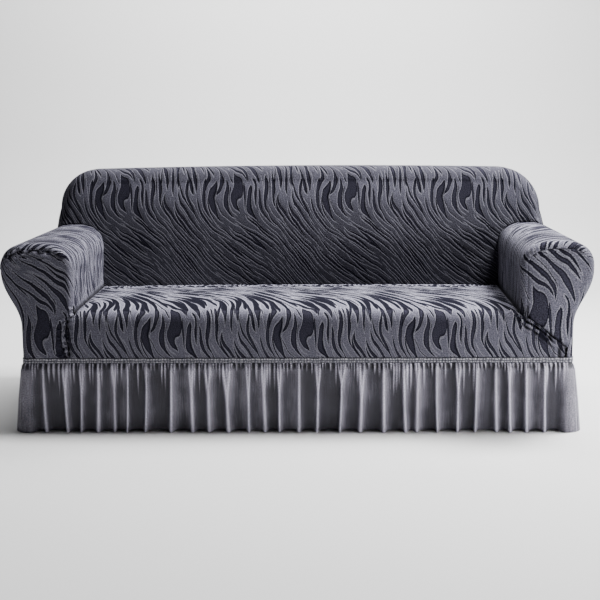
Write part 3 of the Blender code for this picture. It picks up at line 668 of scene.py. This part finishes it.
def front_relief(side):
    def relief(s, t, edge, points):
        depth, pucker, reach = FRONT_SEAMS[side]
        wrinkles = ruching(side, points)
        top = pucker * bell(edge.end, reach) * wrinkles - depth * bell(edge.end, 0.006)
        below = points[..., 2] < SEAT_Z + 0.02
        inner = 0.009 * np.exp(-edge.right / 0.026) * wrinkles * (side == LEFT)
        inner = inner - 0.006 * bell(edge.right, 0.005)
        foot = seam(edge.start, edge.left, f"foot {side}", depth=0.004, pucker=0.002) if side == RIGHT else 0
        flat = ramp(s / 0.12)
        return (top + inner * below + foot) * flat
    return relief


for side, word, flat in ((RIGHT, "right", (0.24, 0.32)), (LEFT, "left", (0.26, 0.40))):
    front = cloth(f"arm_front_cover_{word}", lines(0, 90, 1), lines(0, 120, 1), front_shape(side),
                  front_relief(side), -side)
    dressed(front, jacquard_cloth, f"arm_front_{word}")


# ---- inside back ----
# One cut of the jacquard: from the tuck behind the seat up the face, over the soft top edge and the rounded
# shoulders to the rear seam. Beside the arms its edge follows the arms' roll.
SHOULDERS = {
    LEFT: SimpleNamespace(x=0.852, z=0.757, radius=0.156),
    RIGHT: SimpleNamespace(x=0.826, z=0.738, radius=0.175),
}
BACK_SIDE_FOOT, BACK_SIDE_FLARE, BACK_SIDE_BREAK, CROWN_END = 0.650, 0.026, 0.705, 0.74
WING_DROP = 0.8  # how far the cloth over the roll comes down at the rear, in corner radii
BACK_REPEAT = (-0.579, 0.848)  # where the stripes crowd: x and z
BACK_PAINTED_SHADE = -0.70  # painted shade on the lower back, thinning towards the top
EDGE_PAINTED_LIGHT_SHADE, EDGE_REACH = (0.58, -0.27), 0.14  # painted light added below the top edge, over this reach, and painted shade on the edge


def back_crown(x):
    """Height of the top edge: it falls a little from the middle to the shoulders."""
    falls = [(BACK_TOP_Z - end.z - end.radius) * (x / end.x) ** 2 for end in SHOULDERS.values()]
    return BACK_TOP_Z - np.where(x < 0, *falls)


def back_half_width(side, z, inset=0.0):
    shoulder = SHOULDERS[side]
    reach = shoulder.radius - inset
    flare = BACK_SIDE_FLARE * (shoulder.z - z) / (shoulder.z - BACK_SIDE_FOOT)
    above = shoulder.x + np.sqrt(np.clip(reach ** 2 - (z - shoulder.z) ** 2, 0, None))
    return np.where(z <= shoulder.z, shoulder.x + reach + flare, above)


def resampled(line, count):
    """An open line of rows of numbers, evenly spaced by its first two columns."""
    run = lengths(line[:, :2])
    return np.stack([np.interp(np.linspace(0, run[-1], count), run, column) for column in line.T], 1)


def back_half(side, count):
    """Half of the face's outline: the lower line, and the upper one with outward directions and reach."""
    run = np.linspace(station_run[SHOULDER_STATION], 0, 120)
    x, z, _, _ = arm_section(run, 0.25)
    lower = resampled(np.stack([x, z], 1), count)
    shoulder = SHOULDERS[side]
    first = lower[0]
    reach = float(back_half_width(side, first[1])) - first[0]
    line = [(first[0], first[1], 1, 0, reach)]
    for height in np.linspace(BACK_SIDE_BREAK, shoulder.z, 6):
        line.append((float(back_half_width(side, height, BACK_SOFT)), height, 1, 0, BACK_SOFT))
    for turn in np.linspace(0, QUARTER, 25)[1:]:
        out = (math.cos(turn), math.sin(turn))
        soft = shoulder.radius - BACK_SOFT
        line.append((shoulder.x + out[0] * soft, shoulder.z + out[1] * soft, *out, BACK_SOFT))
    for x in np.linspace(shoulder.x, CROWN_END, 8)[1:]:
        line.append((x, float(back_crown(side * x)) - BACK_SOFT, 0, 1, BACK_SOFT))
    return lower, resampled(np.array(line), count)


SIDE_COLUMNS, MIDDLE_COLUMNS = 60, 180
left_lower, left_upper = back_half(LEFT, SIDE_COLUMNS)
right_lower, right_upper = back_half(RIGHT, SIDE_COLUMNS)
mirror = np.array([-1, 1, -1, 1, 1])
middle_x = np.linspace(-CROWN_END, CROWN_END, MIDDLE_COLUMNS + 2)[1:-1]
middle_lower = np.stack([middle_x * ARM_INNER / CROWN_END, np.full_like(middle_x, BACK_TUCK)], 1)
ones = np.ones_like(middle_x)
middle_upper = np.stack([middle_x, back_crown(middle_x) - BACK_SOFT, 0 * ones, ones, BACK_SOFT * ones], 1)
back_lower = np.concatenate([left_lower * mirror[:2], middle_lower, right_lower[::-1]])
back_upper = np.concatenate([left_upper * mirror, middle_upper, right_upper[::-1]])
FACE_SHARE = 0.62  # of the rows, up to where the face begins to turn


def arm_top(x):
    """Height of the roll at the back, at this distance from the middle."""
    runs = outline_run[ROLL_START * FINE:ROLL_END * FINE]
    roll_x, roll_z, _, _ = arm_section(runs, REAR)
    return np.interp(x, roll_x, roll_z)


def back_shape(s, t):
    """s runs along the outline from left to right, t from the tuck up over the top edge to the rear."""
    column = s * (len(back_lower) - 1)
    base = np.arange(len(back_lower))
    low, high = ([np.interp(column, base, row) for row in line.T] for line in (back_lower, back_upper))
    climb = np.clip(t / FACE_SHARE, 0, 1)
    x, z = (mixed(low[k], high[k], climb) for k in range(2))
    y = back_face(x, z)
    straight = np.clip(REAR - CLOTH - CORNER - (back_face(high[0], high[1]) + BACK_SOFT), 0, None)
    past = np.clip((t - FACE_SHARE) / (1 - FACE_SHARE), 0, 1) * (
        BACK_SOFT * QUARTER + straight + CORNER * QUARTER)
    turn = np.clip(past / BACK_SOFT, 0, QUARTER)
    level = np.clip(past - BACK_SOFT * QUARTER, 0, straight)
    rear_turn = np.clip((past - BACK_SOFT * QUARTER - straight) / CORNER, 0, QUARTER)
    out = high[4] * np.sin(turn) - CORNER * (1 - np.cos(rear_turn))
    y = y + BACK_SOFT * (1 - np.cos(turn)) + level + CORNER * np.sin(rear_turn)
    x, z = x + high[2] * out, z + high[3] * out
    lowest = ramp(1 - (high[1] - back_upper[0, 1]) / 0.035) * (t > FACE_SHARE) * (high[2] ** 2 > 0.9)
    target = arm_top(np.abs(x)) + 0.001 - WING_DROP * CORNER * (1 - np.cos(rear_turn))
    z = z + lowest * (target - back_upper[0, 1])
    flat_x, flat_z = (mixed(low[k], high[k], climb) + high[k + 2] * past for k in range(2))
    # painted shade on the lower face that thins upwards, painted light just below the top edge and painted
    # shade on the edge itself
    painted_light_shade = BACK_PAINTED_SHADE * (1 - 0.75 * ramp((z - BACK_TUCK - 0.1) / (BACK_TOP_Z - BACK_TUCK - 0.1)) ** 1.7)
    over, under = ramp(turn / 0.6), ramp(1 - (1 - climb) * (high[1] - low[1]) / EDGE_REACH)
    painted_light_shade = painted_light_shade + np.clip(high[3], 0, 1) ** 2 * (EDGE_PAINTED_LIGHT_SHADE[0] * under * (1 - over) + EDGE_PAINTED_LIGHT_SHADE[1] * over)
    return (x, y, z), (flat_x - BACK_REPEAT[0], flat_z - BACK_REPEAT[1], painted_light_shade)


def back_relief(s, t, edge, points):
    lift = 0.0012 * np.exp(-edge.start / 0.03) * ruffle(edge.left, 0.03, "back foot")
    return lift - 0.003 * bell(edge.start, 0.004) + seam(edge.end, edge.left, "rear seam", pucker=0.001)


back = cloth("back_cover", lines(0, len(back_lower) - 1, 1), lines(0, 105, 1), back_shape, back_relief, 1)
dressed(back, jacquard_cloth, "inside_back")


# ---- outside back ----
# The plain rear of the cover, one cut of the jacquard, sewn a little over the turned edges of the other
# panels and drawn in a few millimetres at that seam.
REAR_LAP = 0.004
ROLL_EDGE_Z = 0.656  # where its outline goes over from the arm's roll to the shoulder's side
REAR_REPEAT_X = 0.3


def outside_half_width(side, z):
    inset = CORNER - REAR_LAP
    runs = outline_run[(ROLL_END - 3) * FINE:]
    x, height, out_x, out_z = arm_section(runs, REAR)
    lower_x, lower_z = x - out_x * inset, height - out_z * inset
    below = np.interp(z, lower_z[::-1], lower_x[::-1])
    join = ramp((z - ROLL_EDGE_Z + 0.012) / 0.012)
    return mixed(below, back_half_width(side, z, inset), join)


def outside_shape(s, t):
    shoulder = SHOULDERS[LEFT]
    crown = shoulder.radius - CORNER + REAR_LAP
    split = (shoulder.z - BODY_FOOT) / (shoulder.z - BODY_FOOT + crown * QUARTER)
    turn = np.clip((t - split) / (1 - split), 0, 1) * QUARTER
    z = np.where(t < split, mixed(BODY_FOOT, shoulder.z, t / split), shoulder.z + crown * np.sin(turn))
    x = mixed(-outside_half_width(LEFT, z), outside_half_width(RIGHT, z), s)
    fitted = ramp((t - split) / (1 - split) * 1.2 - 0.2)
    z = mixed(z, np.minimum(z, back_crown(x) - CORNER + REAR_LAP), fitted)
    return (x, np.full_like(x, REAR), z), (REAR_REPEAT_X - x, z - BACK_REPEAT[1])


def outside_relief(s, t, edge, points):
    rim = np.minimum(np.minimum(edge.left, edge.right), edge.end)
    swell = 0.004 * ramp(rim / 0.10) + 0.002 * ramp(rim / 0.008)
    return swell - 0.002 + 0.0012 * np.exp(-rim / 0.03) * ruffle(edge.left + edge.start, 0.04, "outside")


outside = cloth("rear_cover", lines(0, 120, 1), lines(0, 60, 1), outside_shape, outside_relief, -1)
dressed(outside, jacquard_cloth, "outside_back")


# ---- ribbed band ----
# A narrow casing in plain grey cloth over an elastic, with two rows of stitching, drawn into fine ribs. The
# strip runs round the whole foot of the jacquard; here it is in four lengths that meet in the corners.
BAND_TOP, BAND_FOOT, BAND_CLOTH = 0.2692, 0.2494, 0.0030
# each side: where it faces, where it runs, half its length, and its distance from the middle
SIDES = {
    "front": ((0, -1), (1, 0), HALF_WIDTH, -FRONT),
    "right": ((1, 0), (0, 1), REAR, HALF_WIDTH),
    "back": ((0, 1), (-1, 0), HALF_WIDTH, REAR),
    "left": ((-1, 0), (0, -1), REAR, HALF_WIDTH),
}
RIB_PITCH = 0.0105


def side_reach(side):
    """Half the length of one side, from its middle to the middle of its corner."""
    return SIDES[side][2] - CORNER + CORNER * math.pi / 4


def round_foot(side, along, out):
    """A point (x, y) at a distance along one side from its middle, and that far outside the foot line."""
    facing, heading, half, away = SIDES[side]
    straight = half - CORNER
    held = np.clip(along, -straight, straight)
    bend = (along - held) / CORNER
    return [f * (away - CORNER) + h * held + (f * np.cos(bend) + h * np.sin(bend)) * (CORNER + out)
            for f, h in zip(facing, heading)]


def casing():
    finish = Finish("ribbed casing", 0.80, 0.05, 0.15)
    across, up = finish.place()
    weave = finish.noise((across, up), 900.0)
    shift = finish.noise((across, up * 0.02), 60.0) * 9
    rib = (across * (math.tau / RIB_PITCH) + shift).math("SINE")
    row = 1 - (abs(up * 2 - 1) - 0.45).math("ABSOLUTE") * 2.2  # 1 on the two rows of stitches
    bead = row.math("MAXIMUM", 0.0) * (rib * 0.35 + 0.62) * (up * 0.5 + 0.62)
    patch = finish.noise((across, up * 0.006), 150.0, 2.0)
    stops = ((0.0, (0.030, 0.030, 0.040)), (0.5, (0.170, 0.167, 0.193)), (1.0, (0.560, 0.550, 0.590)))
    colour = finish.node("ValToRGB", {"stops": stops}, {"Fac": bead + patch * 0.5 + 0.08})
    return finish.finish(finish.tinted(colour, weave * 1.2 + 1), bead * 3 + weave, 0.0008, 0.8)


def band_shape(side):
    reach = side_reach(side)

    def shape(s, t):
        along = mixed(-reach, reach, s)
        lobes = np.abs(np.sin(math.tau * (t ** 0.9)))
        rib = ruffle(along, RIB_PITCH * 1.7, side) * 0.5 + ruffle(along, 0.05, side + " slow") * 0.25
        out = 0.0008 + 0.0026 * lobes ** 0.6 + 0.0009 * rib * (0.4 + 0.6 * lobes)
        x, y = round_foot(side, along, out)
        z = mixed(BAND_FOOT, BAND_TOP, t) + 0.0010 * ruffle(along, 0.04, side + " height")
        return (x, y, z), (along, t)
    return shape


casing_cloth = casing()
for side in SIDES:
    reach = side_reach(side)
    count = round(2 * reach / 0.0032)
    band = cloth(f"casing_{side}", lines(0, count, 1), lines(0, 12, 1), band_shape(side), no_relief, 1,
                 BAND_CLOTH)
    dressed(band, casing_cloth, f"band_{side}")


# ---- gathered skirt ----
# A light plain cloth with a soft sheen, gathered into the casing: short gathers fade out below it, and
# between them long ridges run down to the hem on the floor. Here it is in four lengths.
# The skirt's colour carries painted highlights on the ridges and gathers, and painted shade on the flats
# between them and in slots under the casing.
SKIRT_TOP, SKIRT_CLOTH = 0.2500, 0.0014
HEM = 0.020  # its stitches
# ridges of the front length, from the middle of the side: place and reach, in millimetres
FRONT_FOLDS = (
    (-914, 17), (-836, 19), (-775, 15), (-713, 20), (-657, 13), (-607, 21), (-539, 18), (-450, 22),
    (-379, 20), (-318, 17), (-251, 21), (-173, 22), (-118, 16), (-61, 20), (10, 18), (79, 21),
    (164, 24), (236, 20), (314, 22), (386, 21), (436, 16), (502, 22), (580, 20), (646, 18),
    (714, 16), (762, 22), (823, 19), (888, 22),
)
SKIRT_HEIGHTS = (0.0003, 0.1150, 0.2230, SKIRT_TOP)  # from the hem up
RIDGE_SHARES = (1.00, 0.85, 0.62, 0.10)  # how much of its reach a ridge has at those heights
STANDS = (0.0130, 0.0090, 0.0050, 0.0002)  # and how far the cloth between the ridges stands out
FOLD_PITCH, FOLD_SHIFT, FOLD_REACH = 0.073, 0.13, (0.015, 0.023)
CORNER_FOLD, CORNER_RUN, CORNER_SHARES = 0.022, 0.050, (1.00, 0.70, 0.30, 0.02)
HEM_LIFT = 0.006
GATHER_PITCH, GATHER_REACH, GATHER_HALF = 0.0135, (0.003, 0.008), (0.0032, 0.0064)
GATHER_LEAST, GATHER_DROP = 0.028, 0.120  # the shortest, and how much longer the longest is


def skirt_folds(side):
    """Ridges of one length as (along, reach)."""
    if side == "front":
        return [(at / 1000, reach / 1000) for at, reach in FRONT_FOLDS]
    chance = random.Random(side)
    edge = SIDES[side][2] - CORNER - CORNER_RUN
    count = round(2 * edge / FOLD_PITCH)
    pitch = 2 * edge / count
    folds = []
    for k in range(count + 1):
        shift = chance.uniform(-FOLD_SHIFT, FOLD_SHIFT) * pitch
        folds.append((-edge + k * pitch + shift, chance.uniform(*FOLD_REACH)))
    return folds


def plain_cloth():
    finish = Finish("plain skirt cloth", 0.50, 0.10, 0.35)
    across, up = finish.place()
    weave = finish.noise((across, up), 1100.0)
    slub = finish.noise((across * 300, up * 14), 1.0)
    cloudy = finish.noise((across, up), 9.0, 2.0)
    stitch = (abs(up - HEM) * -900 + 1).math("MAXIMUM", 0.0)
    # the colour runs from dark to pale with the painted light and shade of the ridges, plus the cloth's own
    # cloudiness and slubs
    stops = ((0.0, (0.013, 0.012, 0.018)), (0.20, (0.038, 0.035, 0.049)), (1.0, (0.560, 0.530, 0.640)))
    shading_and_slub = finish.fold() + cloudy * 0.25 + slub * 0.15 + 0.12
    colour = finish.node("ValToRGB", {"stops": stops}, {"Fac": shading_and_slub})
    grain = finish.noise((across, up), 300.0)
    colour = finish.tinted(colour, weave * 0.7 + grain * 1.8 + 1 - stitch * 0.3)
    return finish.finish(colour, weave + slub * 0.8 - stitch * 2, 0.0005, 0.6)


def skirt_shape(side):
    folds = skirt_folds(side)
    reach = side_reach(side)
    straight = SIDES[side][2] - CORNER
    chance = random.Random(side + " gathers")
    ridges = []
    stops = [-straight, *(at for at, _ in folds), straight]
    for k, (at, size) in enumerate(folds):
        room = min(at - stops[k], stops[k + 2] - at)
        fork = chance.choice((0.0, 0.0, 0.0, 0.2, 0.35)) * room  # the two arms of a Y at its top
        ridges.append((at, size, fork, chance.uniform(0.35, 0.7), chance.uniform(0.0034, 0.0066),
                       chance.choice((-1, 1)), chance.uniform(0.009, 0.026), chance.uniform(-0.008, 0.008)))
    gathers = []
    at = -reach + 0.008
    while at < reach - 0.008:
        foot = SKIRT_TOP - GATHER_LEAST - GATHER_DROP * chance.random() ** 2
        gathers.append((at, chance.uniform(*GATHER_REACH), chance.uniform(*GATHER_HALF), foot))
        at += GATHER_PITCH * chance.uniform(0.7, 1.5)

    def shape(s, t):
        """s runs along the side, t from the hem up."""
        along, z = mixed(-reach, reach, s), mixed(SKIRT_HEIGHTS[0], SKIRT_TOP, t)
        share, stand = (np.interp(z, SKIRT_HEIGHTS, row) for row in (RIDGE_SHARES, STANDS))
        # painted_ridge_shading: a painted highlight along each ridge and gather, painted light down a ridge's
        # gentle side and on the blades of a fork, and painted shade where it stays low
        out, painted_ridge_shading = np.zeros_like(along), np.zeros_like(along)
        for at, size, fork, merge, half, gentle, tail, drift in ridges:
            away = along - at - drift * (1 - t) ** 2
            spread = fork * ramp((t - merge) / (1 - merge)) / 2
            near = np.abs(np.abs(away) - spread)
            width = half * (1.25 - 0.5 * t) * (1 - 0.35 * ramp((t - 0.86) / 0.14))
            line = bell(near, width)
            inner = np.abs(away) < spread
            slope = np.exp(-near / np.where((away * gentle > 0) & ~inner, tail, 1.2 * width))
            blade = inner * (0.34 + 0.18 * away * gentle / np.maximum(spread, 1e-4))
            body = bell(np.clip(np.abs(away) - spread, 0, None), 2.2 * half)
            out = np.maximum(out, size * share * (0.65 * body + 0.35 * line))
            painted_ridge_shading = np.maximum.reduce((painted_ridge_shading, line * (0.45 + 20 * size), blade, 0.42 * slope))
        for at, size, half, foot in gathers:
            fade = np.clip((z - foot) / (SKIRT_TOP - foot), 0, 1)
            profile = bell(along - at, half * (0.35 + 0.65 * fade))
            out += size * ramp(fade * 1.5) * ramp((SKIRT_TOP - z) / 0.012) * profile * (1 - out / 0.03)
            painted_ridge_shading = np.maximum(painted_ridge_shading, fade * profile * (0.45 + size * 60))
        corner = ramp((np.abs(along) - straight + CORNER_RUN * 0.8) / (CORNER_RUN * 0.8))
        lean = np.interp(z, SKIRT_HEIGHTS, CORNER_SHARES)
        out = np.maximum(out, CORNER_FOLD * lean * corner)
        # painted shadow in the slots just under the casing between the highlights, and painted light on the
        # corner folds
        painted_band_shadow = ramp((z - SKIRT_TOP + 0.026) / 0.020) * (1 - np.clip(painted_ridge_shading * 1.3, 0, 1))
        painted_ridge_shading = np.maximum(painted_ridge_shading, 0.24 * corner) - 0.45 * painted_band_shadow
        lift = (1 - t) ** 4 * HEM_LIFT * (1 - np.clip(out / STANDS[0], 0, 1))
        out = out + stand + 0.0012 * ruffle(along, 0.09, side + " swing") * (1 - t)
        x, y = round_foot(side, along, out)
        return (x, y, z + lift), (along, z, painted_ridge_shading)
    return shape


plain = plain_cloth()
for side in SIDES:
    reach = side_reach(side)
    count = round(2 * reach / (0.0022 if side == "front" else 0.0040))
    skirt = cloth(f"skirt_cloth_{side}", lines(0, count, 1), lines(0, 25, 0.88, 8, 1), skirt_shape(side),
                  no_relief, 1, SKIRT_CLOTH)
    dressed(skirt, plain, f"skirt_{side}")


# ---- studio ----
# A pale floor that curves up into a wall behind, lit by a lamp of its own; a broad soft light high on the
# right, a weak one in front, and a small one beside the right end.
WALL_Y, WALL_BEND, FLOOR_REACH = 4.0, 1.0, 16.0
bm = bmesh.new()
bmesh.ops.create_grid(bm, x_segments=1, y_segments=64, size=0.5)
for vert in bm.verts:
    run = (vert.co.y + 0.5) * 2 * FLOOR_REACH - FLOOR_REACH
    turn = min(max((run - WALL_Y + WALL_BEND) / WALL_BEND, 0), QUARTER)
    rise = max(run - WALL_Y + WALL_BEND - WALL_BEND * QUARTER, 0)
    level = min(run, WALL_Y - WALL_BEND) + WALL_BEND * math.sin(turn)
    vert.co = (vert.co.x * 2 * FLOOR_REACH, level, WALL_BEND * (1 - math.cos(turn)) + rise)
floor_mesh = bpy.data.meshes.new("floor")
bm.to_mesh(floor_mesh)
bm.free()
floor_mesh.shade_smooth()
floor = added("floor", floor_mesh)
floor_paint = bpy.data.materials.new("floor paint")
floor_paint.use_nodes = True
painted = floor_paint.node_tree.nodes["Principled BSDF"]
fill(painted, {"Base Color": (0.62, 0.62, 0.62, 1), "Roughness": 0.9})
floor_mesh.materials.append(floor_paint)

world = bpy.data.worlds.new("studio")
bpy.context.scene.world = world
world.use_nodes = True
fill(world.node_tree.nodes["Background"], {"Color": (0.95, 0.96, 1.0, 1), "Strength": 0.06})

# name, place, aim, size, power, spread in degrees
LAMPS = (
    ("key", (2.1, 0.32, 3.5), (-0.1, 0.0, 0.5), 1.2, 610, 180),
    ("front", (2.4, -1.8, 1.1), (0.2, -0.4, 0.25), 0.9, 11, 180),
    ("side", (3.0, -1.7, 0.9), (1.0, -0.4, 0.40), 0.5, 5.0, 34),
    ("wall", (0.0, 2.0, 4.2), (0.0, 4.0, 1.2), 3.0, 450, 180),
)
for name, spot, aim, size, power, spread in LAMPS:
    lamp = bpy.data.lights.new(name, "AREA")
    lamp.size, lamp.energy, lamp.spread = size, power, math.radians(spread)
    holder = added(name, lamp)
    holder.location = spot
    holder.rotation_euler = Vector(np.subtract(aim, spot)).to_track_quat("-Z", "Y").to_euler()

CAMERA_PLACE = (0.111, -4.345, 1.114)
CAMERA_TILT, CAMERA_YAW, CAMERA_ROLL = 9.23, 1.40, -0.41  # degrees
camera_data = bpy.data.cameras.new("camera")
camera_data.lens, camera_data.sensor_width = 66.66, 36
camera = added("camera", camera_data)
camera.location = CAMERA_PLACE
yaw = Euler((0, 0, math.radians(CAMERA_YAW))).to_matrix()
tilt = Euler((math.radians(90 - CAMERA_TILT), 0, 0)).to_matrix()
roll = Euler((0, 0, math.radians(CAMERA_ROLL))).to_matrix()
camera.rotation_euler = (yaw @ tilt @ roll).to_euler()
bpy.context.scene.camera = camera
